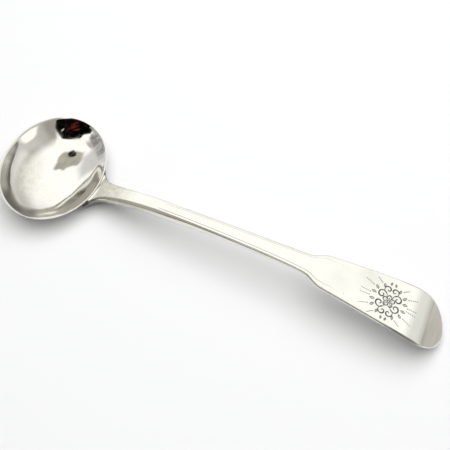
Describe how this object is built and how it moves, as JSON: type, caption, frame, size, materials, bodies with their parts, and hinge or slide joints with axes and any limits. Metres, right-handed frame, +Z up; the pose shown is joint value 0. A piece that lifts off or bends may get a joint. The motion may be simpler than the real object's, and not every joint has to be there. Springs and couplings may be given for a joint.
{
  "type": "condiment spoon",
  "caption": "Small silver condiment spoon with a wide oval bowl soldered to an arched stem that ends in a fiddle-shaped, turned-down terminal.",
  "frame": {"origin": "on the surface that the spoon lies on, under the middle of its length and of its width", "axes": "+X along the spoon from the bowl towards the tip of the stem, +Y across the spoon, +Z up from the surface that it lies on"},
  "size_m": [0.101, 0.0278, 0.0091],
  "materials": {
    "bowl_silver": "polished sterling silver, softly worn, with fine scratches and a faint grey tarnish in the hollow",
    "stem_silver": "polished sterling silver with fine wear scratches and dark toning in the engraved lines",
    "hard_solder": "silver hard solder, duller and greyer than the metal beside it"
  },
  "bodies": {
    "root": {"bowl": "bowl_silver", "stem": "stem_silver", "solder_seam": "hard_solder"}
  },
  "joints": []
}
